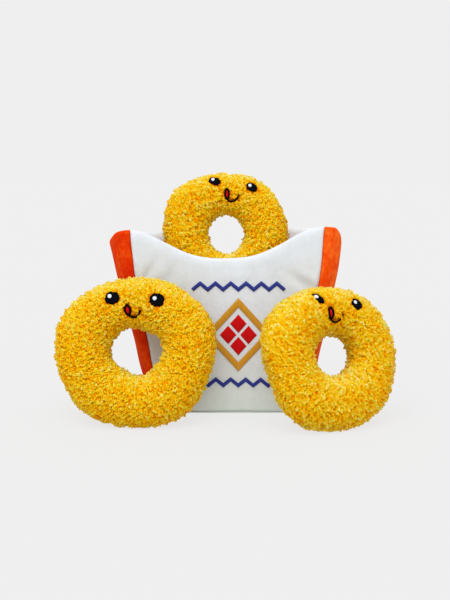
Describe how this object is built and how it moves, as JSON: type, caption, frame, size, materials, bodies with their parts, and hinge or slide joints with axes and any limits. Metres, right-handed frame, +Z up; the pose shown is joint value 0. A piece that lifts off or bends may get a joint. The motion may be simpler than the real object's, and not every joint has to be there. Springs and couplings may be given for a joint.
{
  "type": "plush onion rings side",
  "caption": "Plush side of onion rings: curly yellow fleece rings with stitched faces, in and against a soft white pouch with orange side bands.",
  "frame": {"origin": "middle of the pouch's flat underside, on the surface the toy stands on", "axes": "+Z up; +X along the pouch's width, to the right seen from the front; the faces and the pouch's front look towards -Y"},
  "size_m": [0.2617, 0.1083, 0.1907],
  "materials": {
    "fleece": "curly sherpa fleece, matt",
    "white_plush": "short soft pile, matt",
    "orange_plush": "short soft pile, matt",
    "black_thread": "satin stitch",
    "white_thread": "satin stitch",
    "red_thread": "satin stitch",
    "gold_thread": "satin stitch",
    "blue_thread": "satin stitch"
  },
  "bodies": {
    "root": {"pouch_base": "white_plush", "pouch_front": "white_plush", "pouch_back": "white_plush", "band_left": "orange_plush", "band_right": "orange_plush", "motif_frame": "gold_thread", "motif_zigzag_top": "blue_thread", "motif_zigzag_bottom": "blue_thread", "motif_lozenge_east": "red_thread", "motif_lozenge_north": "red_thread", "motif_lozenge_west": "red_thread", "motif_lozenge_south": "red_thread", "ring_left": "fleece", "ring_left_eye_left": "black_thread", "ring_left_eye_right": "black_thread", "ring_left_glint_left": "white_thread", "ring_left_glint_right": "white_thread", "ring_left_tongue": "red_thread", "ring_left_mouth": "black_thread", "ring_right": "fleece", "ring_right_eye_left": "black_thread", "ring_right_eye_right": "black_thread", "ring_right_glint_left": "white_thread", "ring_right_glint_right": "white_thread", "ring_right_tongue": "red_thread", "ring_right_mouth": "black_thread", "ring_back": "fleece", "ring_back_eye_left": "black_thread", "ring_back_eye_right": "black_thread", "ring_back_glint_left": "white_thread", "ring_back_glint_right": "white_thread", "ring_back_tongue": "red_thread", "ring_back_mouth": "black_thread"}
  },
  "joints": []
}
